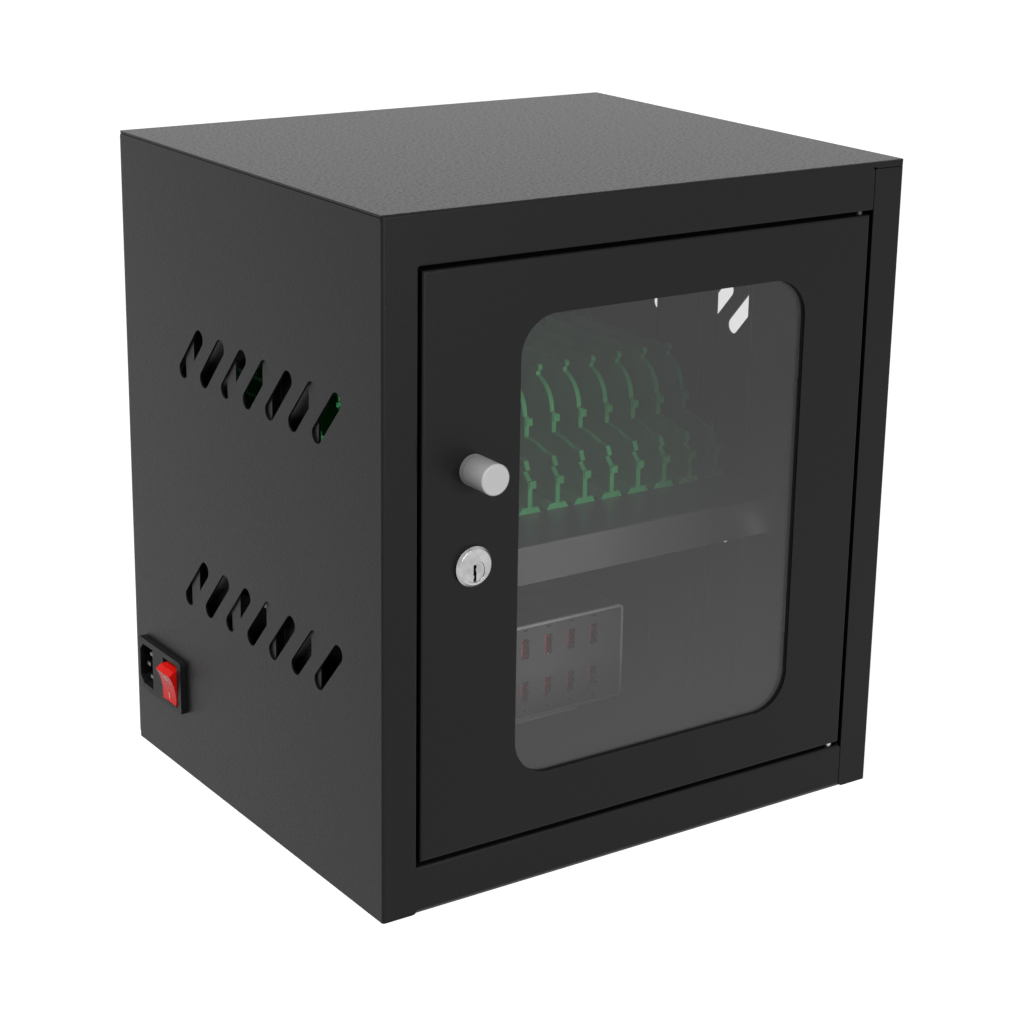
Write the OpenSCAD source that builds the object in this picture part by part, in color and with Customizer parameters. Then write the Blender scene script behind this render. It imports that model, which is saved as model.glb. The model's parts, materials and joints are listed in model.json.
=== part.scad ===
// Lockable steel cabinet with upright phone slots, a charging hub below them and a windowed door.
// Millimetres. X runs to the right seen from the front, the door faces -Y, +Z is up.
// The origin is the centre of the underside.

/* [Cabinet] */
// Width over the side walls
cabinet_w = 324; // [312:1:345]
// Depth from the front face to the back
cabinet_d = 280; // [274:1:300]
// Height over all
cabinet_h = 360; // [350:1:400]
// Thickness of the steel sheet
sheet_t = 1.2; // [1:0.1:1.4]
// Outer radius of a fold
fold_r = 1.5; // [1.5:0.1:2]
// Outer radius of the fold under the front of the base
base_fold_r = 3; // [2:0.5:4]
// Width of the uprights beside the door
stile_w = 20; // [16:1:24]
// Height of the rails above and below the door
rail_h = 26; // [24:1:30]
// Depth of the lip behind each rail
rail_lip_d = 20; // [18:1:26]
// Depth of the lip behind the left upright, which the lock catches
stile_lip_d = 13.5; // [12:0.5:15]
// Width of the flanges that carry the back
rear_flange_w = 12; // [10:1:16]
// Height of the top's lip in front of the uprights
top_lip_h = 3.5; // [3:0.5:5]
// Height of the strips that hold the top between the walls
top_strip_h = 12; // [8:1:16]
// Dark seam between top and walls
seam = 0.4; // [0.3:0.1:0.6]
// Seam between the rails and the right upright
rail_seam = 0.5; // [0.4:0.1:0.8]
// Radius of the corners at the feet and the back
corner_r = 2.5; // [1.5:0.5:3]

/* [Vents] */
// Slots in a row
vent_count = 7; // [5:1:7]
// Distance from slot to slot
vent_pitch = 24.2; // [23:0.1:26]
// Width of a slot
vent_w = 9.4; // [7:0.1:10]
// Distance between the centres of a slot's round ends
vent_l = 28.5; // [20:0.5:32]
// Lean of a slot from upright, top towards the door
vent_lean = 42; // [30:1:45]
// Middle of each row along the depth
vent_y = -14.5; // [-16:0.5:-12]
// Height of the lower row
vent_low_z = 120.3; // [110:0.1:130]
// Height of the upper row
vent_high_z = 251; // [235:1:260]

/* [Channels] */
// Width of a channel over its flanges
channel_w = 57.4; // [50:0.1:60]
// Width of a channel's flange
channel_flange = 8.5; // [7:0.5:10]
// How far a channel stands off the wall
channel_d = 6.5; // [5:0.5:8]
// Middle of the front channels along the depth
front_channel_y = -48.9; // [-52:0.1:-46]
// Middle of the rear channels along the depth
rear_channel_y = 37.9; // [34:0.1:42]

/* [Back] */
// Shank diameter of the screws in the back
screw_d = 3.8; // [3:0.1:4]
// Head diameter of those screws
screw_head_d = 7.4; // [6:0.1:8]
// Height of their heads
screw_head_h = 2.2; // [1.5:0.1:2.5]
// Length of their shanks
screw_l = 8; // [6:1:10]

/* [Shelf] */
// Height of the shelf's upper face
shelf_z = 152.3; // [146:0.1:160]
// Front of the shelf along the depth
shelf_y = -61.5; // [-66:0.5:-56]
// Height of the shelf's lips
shelf_lip_h = 22; // [16:1:24]
// Height of the shelf's folded ends, which are riveted to the channels
shelf_end_h = 27; // [24:1:30]
// Gap between the shelf and the back
shelf_gap = 2.8; // [1:0.1:6]
// Shank diameter of the shelf rivets
rivet_d = 3.2; // [2.4:0.1:4]
// Distance between the two rivets in a channel
rivet_pitch = 14; // [10:1:18]

/* [Dividers] */
// Number of dividers
divider_count = 16; // [12:1:16]
// Distance of the outer dividers' middles from the shelf's ends
divider_edge = 11.3; // [9:0.1:16]
// Thickness of a divider at its rim
divider_t = 3; // [2.4:0.1:3.4]
// Thickness of a divider's panel inside the rim
divider_web_t = 2; // [1.4:0.1:2.2]
// Height of a divider above the shelf
divider_h = 70; // [66:1:80]
// Front edge of a divider along the depth
divider_y = -15.8; // [-22:0.1:-10]
// Length of a divider
divider_l = 148.8; // [130:0.1:150]
// Height of the low nose at the front
low_step_h = 30; // [28:0.5:32]
// Height at which the round shoulder begins
mid_step_h = 46; // [43:0.5:46]
// Radius of the round shoulder
shoulder_r = 19.1; // [17:0.1:19.5]
// Width of a divider's foot
foot_w = 15; // [13:0.5:16]
// Height of a divider's foot
foot_h = 3.5; // [2.5:0.1:4]
// Width of the cable groove in a clip
clip_bore_d = 2.2; // [1.8:0.1:2.3]
// Length of the pegs that hold a divider in the shelf
peg_l = 3; // [2:0.5:5]

/* [Charger] */
// Width of the charging hub
charger_w = 195.7; // [184:0.1:200]
// Depth of the charging hub
charger_d = 62; // [54:1:66]
// Height of the charging hub
charger_h = 60.6; // [58:0.1:64]
// Right end of the charging hub
charger_right_x = 112.2; // [100:0.1:120]
// Front of the charging hub along the depth
charger_y = 29; // [24:0.5:36]
// Corner radius of the charging hub
charger_r = 3.5; // [3:0.1:5]
// Wall of the charging hub
charger_wall = 2; // [1.6:0.1:2.4]
// Width of the light rim round the hub's face
charger_rim = 1.6; // [1.2:0.1:2]
// Height of the pad under the hub
pad_h = 2; // [1.5:0.5:3]
// Width of the pad
pad_w = 144; // [120:1:160]
// Right end of the pad
pad_right_x = 78; // [70:1:84]
// Ports in a row
port_columns = 10; // [6:1:10]
// Distance from port to port along a row
port_pitch = 16.9; // [15:0.1:17.2]
// Distance between the two rows
port_row_gap = 27.4; // [24:0.1:29]
// Height of a port's opening, which is a fixed standard
port_h = 12.5; // [12.5]
// Width of a port's opening, which is a fixed standard
port_w = 5.12; // [5.12]
// Metal thickness of a port's shell
port_shell_t = 0.3; // [0.3:0.05:0.4]
// Depth of a port
port_d = 14; // [12:0.5:16]
// Thickness of a port's tongue
tongue_t = 1.84; // [1.7:0.01:1.9]

/* [Inlet] */
// Middle of the inlet from the cabinet's back
inlet_inset = 37.5; // [36:0.5:40]
// Height of the middle of the inlet
inlet_z = 51.7; // [45:0.1:60]
// Length of the inlet's flange
inlet_flange_l = 54; // [53:0.5:56]
// Height of the inlet's flange
inlet_flange_h = 31.4; // [31:0.1:34]
// Thickness of the inlet's flange
inlet_flange_t = 3.4; // [2.5:0.1:4]
// How far the flange overlaps the housing behind the wall
inlet_rim = 1.6; // [1.4:0.1:1.7]
// Depth of the housing behind the wall's outer face
inlet_d = 22; // [20:1:26]
// Long side of the plug recess, which is a fixed standard
socket_h = 24.4; // [24.4]
// Short side of the plug recess, which is a fixed standard
socket_w = 16.4; // [16.4]
// Depth of the plug recess
socket_d = 16; // [15:0.5:17]
// Chamfer at two corners of the plug recess
socket_chamfer = 4; // [3.5:0.1:4.5]
// Middle of the plug recess from the middle of the inlet
socket_y = 16.7; // [16.5:0.1:17]
// Middle of the rocker from the middle of the inlet
rocker_y = -13.8; // [-14:0.1:-12]

/* [Rocker] */
// Width of the rocker
rocker_w = 16.6; // [15:0.1:17]
// Half the distance between the rocker's two ridges
rocker_half = 9.5; // [9:0.1:9.6]
// Height of the ridges above the pivot
rocker_rise = 11; // [10:0.1:11.5]
// Depth of the pivot behind the flange's face
rocker_depth = 8; // [7:0.1:8.5]
// Tilt of the rocker each way
rocker_tilt = 12; // [8:1:12]
// Depth of the hollow between the ridges
rocker_sag = 1.5; // [1:0.1:2]
// Diameter of the rocker's trunnions
trunnion_d = 4; // [3:0.1:4.5]

/* [Door] */
// Gap between the door and its frame
door_gap = 2; // [1.8:0.1:2.6]
// Depth of the door's folded edges
door_d = 13.5; // [12:0.5:14]
// Width of the door's sheet left of the window
window_left = 56.5; // [55:0.5:60]
// Width of the door's sheet right of the window
window_right = 42.5; // [42:0.5:50]
// Height of the door's sheet below the window
window_below = 32; // [30:1:42]
// Height of the door's sheet above the window
window_above = 29; // [28:1:42]
// Corner radius of the window
window_r = 21; // [15:1:25]
// Thickness of the gasket between sheet and pane
gasket_t = 1.8; // [1.2:0.1:2.2]
// Thickness of the clear pane
pane_t = 3; // [2:0.5:4]
// How far the pane reaches past the window
pane_margin = 10; // [8:0.5:12]
// Distance of the hinge axis from the door's right edge and front face
hinge_inset = 4.5; // [4.2:0.1:5]
// Diameter of the hinge pins
pin_d = 4; // [3:0.1:4]
// Diameter of the collar under the door
pin_collar_d = 5; // [4.5:0.1:5.4]

/* [Knob and lock] */
// Distance of the knob's and the lock's middles from the door's left edge
latch_inset = 29.3; // [26:0.1:34]
// Height of the knob
knob_z = 230.6; // [220:0.1:250]
// Diameter of the knob
knob_d = 16; // [12:0.5:20]
// Length of the knob
knob_l = 20; // [14:0.5:24]
// Height of the lock's axis
lock_z = 178.9; // [165:0.1:190]
// How far the rosette's middle lies above the lock's axis
rosette_rise = 2.4; // [1.5:0.1:2.5]
// Diameter of the rosette at the door
rosette_d = 21; // [20.5:0.1:24]
// Diameter of the rosette's face
rosette_face_d = 18.4; // [18:0.1:20]
// Height of the rosette
rosette_h = 3; // [2:0.1:4]
// Diameter of the lock's barrel
barrel_d = 16; // [15:0.1:16]
// Diameter of the lock's plug
plug_d = 11.2; // [10:0.1:12]
// Length of the lock's cam from the axis to its tip
cam_reach = 35; // [33:0.5:38]
// Width of the cam
cam_w = 14; // [12:0.5:16]
// Thickness of the cam
cam_t = 2; // [1.5:0.1:2.5]
// Gap between the lip that the lock catches and the cam
cam_gap = 0.5; // [0.4:0.1:1]

/* [Clearances] */
// Running clearance of pins and plugs, on the radius
running = 0.05; // [0.03:0.01:0.08]
// Free space round the rocker and the inlet
free_gap = 0.3; // [0.25:0.05:0.4]

/* [Hidden] */
$fn = 64;
over = 1;

// Faces of the cabinet
wall_x = cabinet_w / 2;
wall_in_x = wall_x - sheet_t;
front_y = -cabinet_d / 2;
back_y = cabinet_d / 2;
rear_flange_y = back_y - sheet_t;
top_in_z = cabinet_h - sheet_t;
frame_x = wall_x - stile_w;
rail_right_x = frame_x - rail_seam;
stile_top_z = cabinet_h - top_lip_h - seam;
wall_top_z = top_in_z - seam;
upper_opening_z = cabinet_h - rail_h;
behind_front_y = front_y + sheet_t + free_gap;
lip_relief_d = 1.6;

// Channels between floor and strips
channel_top_z = top_in_z - top_strip_h - free_gap;
channel_face_x = wall_in_x - channel_d;
strip_half_y = rear_flange_y - 2 * sheet_t - over;

// Back
back_margin = 0.8;
back_screw_x = wall_x - rear_flange_w / 2;
back_screw_inset = 6;
back_screw_low_z = 20;
back_screw_rows = 5;
back_screw_step = (cabinet_h - 2 * back_screw_low_z) / (back_screw_rows - 1);
back_screws_at = concat(
    [for (side = [-1, 1], row = [0 : back_screw_rows - 1])
        [side * back_screw_x, back_screw_low_z + row * back_screw_step]],
    [for (z = [back_screw_inset, cabinet_h - back_screw_inset]) [0, z]]);

// Shelf and its rivets
shelf_back_y = rear_flange_y - shelf_gap;
rivet_z = shelf_z - shelf_lip_h / 2;
rivet_head_d = 2 * rivet_d - 0.4;
rivet_head_h = 1.2;
rivet_end = 1.8;
rivets_at = [for (y = [front_channel_y + channel_flange, rear_channel_y], s = [-0.5, 0.5])
    y + s * rivet_pitch];

// Dividers
divider_first_x = -channel_face_x + divider_edge;
divider_pitch = -2 * divider_first_x / (divider_count - 1);
throat_y = 5;
throat_drop = 1.8;
nose_y = 2.4;
nose_h = 5;
nose_lean = 2.4;
throat_z = low_step_h - nose_h - throat_drop;
mid_step_y = 32;
shoulder_y = mid_step_y + 2 + shoulder_r;
top_start_y = shoulder_y - 4.3;
hook_r = 2.2;
hook_rise = 1.5;
foot_chamfer = 2;
pocket_edge = 6;
pocket_r = 3;
clip_left = 0.9;
clip_reach = 2;
clip_mouth = 0.4;
clip_h = 4.4;
clip_l = 4;
clip_front = 0.8;
low_clip_z = 14.7;
mid_clip_z = mid_step_h - clip_h - 1;
peg_w = 2.4;
peg_run = 8;
peg_play = 0.1;
pegs_at = [0.12 * divider_l, 0.85 * divider_l];

// Charging hub
charger_z = sheet_t + pad_h;
charger_mid_x = charger_right_x - charger_w / 2;
charger_mid_z = charger_z + charger_h / 2;
rim_back_y = charger_y + 2;
faceplate_recess = 0.6;
port_sink = 0.2;
port_mid_z = charger_mid_z + 1.2;
tongue_l = 10;
tongue_h = 11.1;
tongue_back = 1.5;
tongue_offset = 1;
light_rise = 11.9;
light_w = 3;
light_h = 1;
dot_d = 1.6;
dot_drop = 12.3;

// Inlet
inlet_y = back_y - inlet_inset;
inlet_face_x = -wall_x - inlet_flange_t;
inlet_back_x = -wall_x + inlet_d;
inlet_corner_r = 2;
body_l = inlet_flange_l - 2 * inlet_rim;
body_h = inlet_flange_h - 2 * inlet_rim;
blade_l = 4;
blade_t = 2;
blade_step_z = 7;
blade_step_y = 2;
blade_sink = 2.5;
tab_w = 4.8;
tab_t = 0.8;
tab_l = 9;
switch_tab_step = 6;

// Rocker
pivot_x = inlet_face_x + rocker_depth;
pivot_y = inlet_y + rocker_y;
rocker_hole_w = rocker_w + 2 * free_gap + 0.2;
rocker_shoulder = 11;
rocker_shoulder_rise = 7.5;
rocker_heel = 3;
rocker_belly = 2;
rocker_hole_h = 2 * (rocker_shoulder * cos(rocker_tilt) + rocker_shoulder_rise * sin(rocker_tilt) + free_gap);
rocker_hollow_r = (pow(rocker_half, 2) + pow(rocker_sag, 2)) / (2 * rocker_sag);
rocker_hole_depth = rocker_depth + rocker_heel + 2;
trunnion_l = 1.5;

// Door
door_x = frame_x - door_gap;
latch_x = -door_x + latch_inset;
door_low_z = rail_h + door_gap;
door_high_z = upper_opening_z - door_gap;
door_half_h = (door_high_z - door_low_z) / 2;
door_in_y = front_y + sheet_t;
gasket_back_y = door_in_y + gasket_t;
pane_back_y = gasket_back_y + pane_t;
window_left_x = -door_x + window_left;
window_right_x = door_x - window_right;
window_low_z = door_low_z + window_below;
window_high_z = door_high_z - window_above;
window_w = window_right_x - window_left_x;
window_h = window_high_z - window_low_z;
window_mid_x = (window_right_x + window_left_x) / 2;
window_mid_z = (window_high_z + window_low_z) / 2;
clip_plate_w = 16;
clip_hold = 7;
clip_foot = 12;
clip_plate_t = 1.2;
stud_d = 4;
stud_l = 8;
stud_nut_w = 7;
stud_nut_h = 3;
hinge_x = door_x - hinge_inset;
hinge_y = front_y + hinge_inset;
pin_head_h = 2;
pin_reach = 4;
pin_head_d = 2 * (hinge_inset - sheet_t - free_gap);

// Knob and lock
rosette_bevel = min((rosette_d - rosette_face_d) / 2, 0.6 * rosette_h);
knob_groove_y = 2;
knob_groove_w = 0.6;
knob_groove_d = 0.5;
knob_edge = 0.6;
knob_screw_d = 4;
knob_screw_head_d = 8;
knob_screw_head_h = 2.6;
knob_screw_in = 10;
cam_y = front_y + stile_lip_d + cam_gap;
barrel_back_y = cam_y - running;
nut_h = 4;
nut_w = 24;
plug_sink = 0.4;
square_w = 7;
keyway_w = 1.7;
keyway_h = 8.8;
keyway_drop = 0.9;
keyway_d = 9;
ward_w = 0.7;
ward_h = 1.6;
cam_screw_d = 4;
cam_screw_head_d = 10;
cam_screw_head_h = 2.4;
cam_screw_in = 6;

// A flat outline drawn in X and Y, raised from z0 to z1
module along_z(z0, z1) {
    translate([0, 0, z0]) linear_extrude(z1 - z0) children();
}

// A flat outline drawn in Y and Z, run from x0 to x1
module along_x(x0, x1) {
    translate([x0, 0, 0]) rotate([90, 0, 90]) linear_extrude(x1 - x0) children();
}

// A flat outline drawn in X and Z, run from y0 to y1
module along_y(y0, y1) {
    translate([0, y1, 0]) rotate([90, 0, 0]) linear_extrude(y1 - y0) children();
}

// Sheet seen from its end: it starts along X, its outer face down, and folds to the left after each leg.
// Legs are measured over the outside.
module folded(legs, radii, i = 0) {
    before = i > 0 ? radii[i - 1] : 0;
    after = i < len(legs) - 1 ? radii[i] : 0;
    run = legs[i] - before - after;
    square([run, sheet_t]);
    if (after > 0) {
        translate([run, after]) quarter_ring(after);
        translate([run + after, after]) rotate(90) folded(legs, radii, i + 1);
    }
}

module quarter_ring(r) {
    intersection() {
        difference() {
            circle(r);
            circle(r - sheet_t);
        }
        translate([0, -r]) square(r);
    }
}

module rounded_rect(w, h, r) {
    square([w - 2 * r, h], center = true);
    square([w, h - 2 * r], center = true);
    for (x = [-1, 1], y = [-1, 1])
        translate([x * (w / 2 - r), y * (h / 2 - r)]) circle(r);
}

// What a rounded corner leaves outside itself, in the quarter above and to the right of the origin
module corner_waste(r) {
    difference() {
        square(r);
        translate([r, r]) circle(r);
    }
}

// A shaft or hole along Y
module rod_y(d, y0, y1) {
    along_y(y0, y1) circle(d = d);
}

// A shaft or hole along X
module rod_x(d, x0, x1) {
    along_x(x0, x1) circle(d = d);
}

module vent_slot() {
    rotate(vent_lean) {
        square([vent_w, vent_l], center = true);
        for (end = [-1, 1])
            translate([0, end * vent_l / 2]) circle(d = vent_w);
    }
}

// Both rows of vents, drawn in Y and Z
module vents() {
    for (z = [vent_low_z, vent_high_z], i = [0 : vent_count - 1])
        translate([vent_y + (i - (vent_count - 1) / 2) * vent_pitch, z]) vent_slot();
}

// Upper stretch of a wall, which ends just under the top
module wall_head() {
    along_x(-wall_x, -wall_in_x)
        translate([behind_front_y, stile_top_z - fold_r])
            square([rear_flange_y - fold_r - behind_front_y, wall_top_z - stile_top_z + fold_r]);
}

module back_screw_holes(d, y0, y1) {
    for (p = back_screws_at)
        translate([p[0], 0, p[1]]) rod_y(d, y0, y1);
}

module foot_rounding() {
    along_y(front_y - over, front_y + sheet_t + over)
        translate([-frame_x, 0]) mirror([1, 0]) corner_waste(corner_r);
}

module left_side_panel() {
    depth = rear_flange_y - front_y;
    color("dimgray")
    difference() {
        union() {
            for (z = [[0, rail_h], [upper_opening_z, cabinet_h - top_lip_h]])
                along_z(z[0], z[1])
                    translate([-wall_x + rear_flange_w, rear_flange_y]) rotate(180)
                        folded([rear_flange_w, depth, stile_w], [fold_r, fold_r]);
            along_z(rail_h, upper_opening_z)
                translate([-wall_x + rear_flange_w, rear_flange_y]) rotate(180)
                    folded([rear_flange_w, depth, stile_w, stile_lip_d], [fold_r, fold_r, fold_r]);
            wall_head();
        }
        along_x(-wall_x - over, -wall_in_x + over) vents();
        back_screw_holes(screw_d + 2 * running, rear_flange_y - sheet_t - over, back_y);
        foot_rounding();
        translate([0, inlet_y, inlet_z])
            along_x(-wall_x - over, -wall_in_x + over)
                square([body_l + 2 * free_gap, body_h + 2 * free_gap], center = true);
    }
}

module right_side_panel() {
    color("dimgray")
    difference() {
        union() {
            along_z(0, stile_top_z)
                translate([frame_x, front_y])
                    folded([stile_w, rear_flange_y - front_y, rear_flange_w], [fold_r, fold_r]);
            mirror([1, 0, 0]) wall_head();
        }
        along_x(wall_in_x - over, wall_x + over) vents();
        back_screw_holes(screw_d + 2 * running, rear_flange_y - sheet_t - over, back_y);
        mirror([1, 0, 0]) foot_rounding();
    }
}

module top_panel() {
    depth = rear_flange_y - front_y;
    color("gray")
    difference() {
        union() {
            along_x(-frame_x, rail_right_x)
                translate([rear_flange_y, cabinet_h - rear_flange_w]) rotate(90)
                    folded([rear_flange_w, depth, rail_h, rail_lip_d], [fold_r, fold_r, fold_r]);
            intersection() {
                along_x(-wall_x, wall_x)
                    translate([rear_flange_y, cabinet_h]) rotate(180)
                        folded([depth, top_lip_h], [fold_r]);
                along_z(cabinet_h - top_lip_h - over, cabinet_h + over)
                    translate([0, (front_y + rear_flange_y) / 2]) rounded_rect(cabinet_w, depth, fold_r);
            }
            for (x = [-wall_in_x, wall_in_x - sheet_t])
                translate([x, -strip_half_y, top_in_z - top_strip_h])
                    cube([sheet_t, 2 * strip_half_y, top_strip_h + sheet_t / 2]);
        }
        translate([rail_right_x, 0, cabinet_h - top_lip_h])
            rod_y(lip_relief_d, front_y - over, front_y + sheet_t + over);
        back_screw_holes(screw_d + 2 * running, rear_flange_y - sheet_t - over, back_y);
        translate([hinge_x, hinge_y, upper_opening_z - over])
            cylinder(d = pin_d + 2 * running, h = sheet_t + 2 * over);
    }
}

module base_panel() {
    depth = rear_flange_y - front_y;
    color("dimgray")
    difference() {
        union() {
            along_x(-frame_x, rail_right_x)
                translate([front_y + rail_lip_d, rail_h]) rotate(180)
                    folded([rail_lip_d, rail_h, depth, rear_flange_w], [fold_r, base_fold_r, fold_r]);
            translate([-wall_in_x, behind_front_y, 0])
                cube([2 * wall_in_x, rear_flange_y - sheet_t - free_gap - behind_front_y, sheet_t]);
        }
        along_y(front_y - over, front_y + sheet_t + over)
            translate([rail_right_x, rail_h]) rotate(180) corner_waste(corner_r);
        back_screw_holes(screw_d + 2 * running, rear_flange_y - sheet_t - over, back_y);
        translate([hinge_x, hinge_y, rail_h - sheet_t - over])
            cylinder(d = pin_d, h = sheet_t + 2 * over);
    }
}

module back_panel() {
    color("dimgray")
    difference() {
        translate([0, 0, cabinet_h / 2])
            along_y(rear_flange_y, back_y)
                rounded_rect(cabinet_w - 2 * back_margin, cabinet_h - 2 * back_margin, corner_r);
        back_screw_holes(screw_d + 2 * free_gap, rear_flange_y - over, back_y + over);
    }
}

// A domed screw with its head at the origin, its shank along -Y
module domed_screw(shank_d, shank_l, head_d, head_h, recess_w) {
    rod_y(shank_d, -shank_l, 0);
    difference() {
        rotate([-90, 0, 0]) rotate_extrude()
            polygon([[0, 0], [head_d / 2, 0], [head_d / 2, 0.45 * head_h], [0.36 * head_d, head_h], [0, head_h]]);
        translate([0, head_h, 0])
            for (turn = [0, 90])
                rotate([0, turn, 0]) cube([recess_w, head_h, 0.5 * head_d], center = true);
    }
}

module back_screws() {
    color("black")
    for (p = back_screws_at)
        translate([p[0], back_y, p[1]])
            domed_screw(screw_d, screw_l, screw_head_d, screw_head_h, 1);
}

// Section of a channel on the left wall
module channel_section() {
    body_w = channel_w - 2 * channel_flange;
    for (y = [-channel_w / 2, channel_w / 2 - channel_flange - sheet_t])
        translate([0, y]) square([sheet_t, channel_flange + sheet_t]);
    translate([0, -body_w / 2])
        folded([channel_d, body_w, channel_d], [fold_r, fold_r]);
}

module channel(y) {
    color("dimgray")
    difference() {
        along_z(sheet_t, channel_top_z) translate([-wall_in_x, y]) channel_section();
        for (rivet_y = rivets_at)
            translate([0, rivet_y, rivet_z])
                rod_x(rivet_d + 2 * running, -channel_face_x - sheet_t - over, -channel_face_x + over);
    }
}

module left_front_channel() {
    channel(front_channel_y);
}

module left_rear_channel() {
    channel(rear_channel_y);
}

module right_front_channel() {
    mirror([1, 0, 0]) channel(front_channel_y);
}

module right_rear_channel() {
    mirror([1, 0, 0]) channel(rear_channel_y);
}

module peg_outline(play) {
    square([peg_w + 2 * play, peg_run + 2 * play], center = true);
}

module shelf() {
    side_x = channel_face_x;
    color("dimgray")
    difference() {
        union() {
            along_x(-side_x + fold_r, side_x - fold_r)
                translate([shelf_back_y, shelf_z - shelf_lip_h]) rotate(90)
                    folded([shelf_lip_h, shelf_back_y - shelf_y, shelf_lip_h], [fold_r, fold_r]);
            along_y(shelf_y + fold_r, shelf_back_y - fold_r)
                translate([side_x, shelf_z - shelf_end_h]) rotate(90)
                    folded([shelf_end_h, 2 * side_x, shelf_end_h], [fold_r, fold_r]);
        }
        for (y = rivets_at)
            translate([0, y, rivet_z])
                rod_x(rivet_d + 2 * running, -side_x - over, side_x + over);
        for (i = [0 : divider_count - 1], y = pegs_at)
            translate([divider_first_x + i * divider_pitch, divider_y + y, 0])
                along_z(shelf_z - sheet_t - over, shelf_z + over) peg_outline(peg_play);
    }
}

// A rivet through the left end of the shelf, its head inside
module rivet() {
    shank = 2 * sheet_t + rivet_end;
    rotate([0, 90, 0]) {
        rotate_extrude()
            polygon([[0, 0], [rivet_head_d / 2, 0], [rivet_head_d / 4, rivet_head_h], [0, rivet_head_h]]);
        translate([0, 0, -shank]) cylinder(d = rivet_d, h = shank);
    }
}

module shelf_rivets() {
    color("silver")
    for (side = [0, 1], y = rivets_at)
        mirror([side, 0, 0])
            translate([-channel_face_x + sheet_t, y, rivet_z]) rivet();
}

// Side outline of a divider from its front edge, above the shelf
module divider_outline() {
    polygon([
        [0, 0], [0, throat_z - throat_y], [throat_y, throat_z], [nose_y, low_step_h - nose_h],
        [nose_y + nose_lean, low_step_h], [nose_y + 10, low_step_h + 0.2], [nose_y + 19, low_step_h + 3.2],
        [nose_y + 25.5, low_step_h + 4.2], [mid_step_y, low_step_h + 4.2], [mid_step_y, mid_step_h],
        [divider_l, mid_step_h], [divider_l, 0]]);
    translate([shoulder_y, mid_step_h]) circle(shoulder_r);
    translate([top_start_y, mid_step_h]) square([divider_l - top_start_y, divider_h - mid_step_h]);
    translate([top_start_y, divider_h + hook_rise - hook_r]) circle(hook_r);
}

// The thinner fields inside the rim
module divider_fields() {
    upper_l = divider_l - shoulder_y - 2 * pocket_edge;
    upper_h = divider_h - foot_h - 2 * pocket_edge;
    lower_l = mid_step_y - pocket_edge;
    lower_h = low_step_h - foot_h - 2 * pocket_edge;
    translate([divider_l - pocket_edge - upper_l / 2, foot_h + pocket_edge + upper_h / 2])
        rounded_rect(upper_l, upper_h, pocket_r);
    translate([pocket_edge + lower_l / 2, foot_h + pocket_edge + lower_h / 2])
        rounded_rect(lower_l, lower_h, pocket_r);
}

// A clip that holds a charging lead beside the front edge, its upright groove open to the right
module lead_clip() {
    clip_right = divider_t / 2 + clip_reach;
    difference() {
        translate([-clip_left, -clip_front, 0]) cube([clip_left + clip_right, clip_l, clip_h]);
        translate([clip_right - clip_mouth, clip_l / 2 - clip_front, -over])
            cylinder(d = clip_bore_d, h = clip_h + 2 * over);
    }
}

module divider(i) {
    color("limegreen")
    translate([divider_first_x + (i - 1) * divider_pitch, divider_y, shelf_z]) {
        difference() {
            along_x(-divider_t / 2, divider_t / 2) divider_outline();
            for (side = [0, 1])
                mirror([side, 0, 0])
                    along_x(divider_web_t / 2, divider_t) divider_fields();
        }
        along_y(0, divider_l)
            polygon([
                [-foot_w / 2, 0], [foot_w / 2, 0],
                [foot_w / 2 - foot_chamfer, foot_h], [-foot_w / 2 + foot_chamfer, foot_h]]);
        translate([0, 0, low_clip_z]) lead_clip();
        translate([0, mid_step_y, mid_clip_z]) lead_clip();
        for (y = pegs_at)
            translate([0, y, 0]) along_z(-sheet_t - peg_l, over) peg_outline(0);
    }
}

module in_charger_front(x, z) {
    translate([charger_mid_x + x, 0, charger_mid_z + z]) children();
}

module each_port() {
    for (row = [-0.5, 0.5], i = [0 : port_columns - 1])
        translate([
            charger_mid_x + (i - (port_columns - 1) / 2) * port_pitch, 0,
            port_mid_z + row * port_row_gap]) children();
}

module port_outline(grow) {
    square([port_w + 2 * grow, port_h + 2 * grow], center = true);
}

module status_light_outlines() {
    for (i = [0 : port_columns - 1]) {
        x = (i - (port_columns - 1) / 2) * port_pitch;
        translate([x, port_mid_z + port_row_gap / 2 + light_rise - charger_mid_z])
            square([light_w, light_h], center = true);
        translate([x, port_mid_z - port_row_gap / 2 - dot_drop - charger_mid_z]) circle(d = dot_d);
    }
}

module charger_case() {
    inner_w = charger_w - 2 * charger_wall;
    inner_h = charger_h - 2 * charger_wall;
    color([0.16, 0.16, 0.17])
    in_charger_front(0, 0)
        difference() {
            along_y(rim_back_y, charger_y + charger_d) rounded_rect(charger_w, charger_h, charger_r);
            along_y(rim_back_y - over, charger_y + charger_d - charger_wall)
                rounded_rect(inner_w, inner_h, charger_r - charger_wall);
        }
}

module charger_rim() {
    inner_w = charger_w - 2 * charger_rim;
    inner_h = charger_h - 2 * charger_rim;
    color([0.5, 0.5, 0.5])
    in_charger_front(0, 0)
        difference() {
            along_y(charger_y, rim_back_y) rounded_rect(charger_w, charger_h, charger_r);
            along_y(charger_y - over, rim_back_y + over)
                rounded_rect(inner_w, inner_h, charger_r - charger_rim);
        }
}

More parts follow.
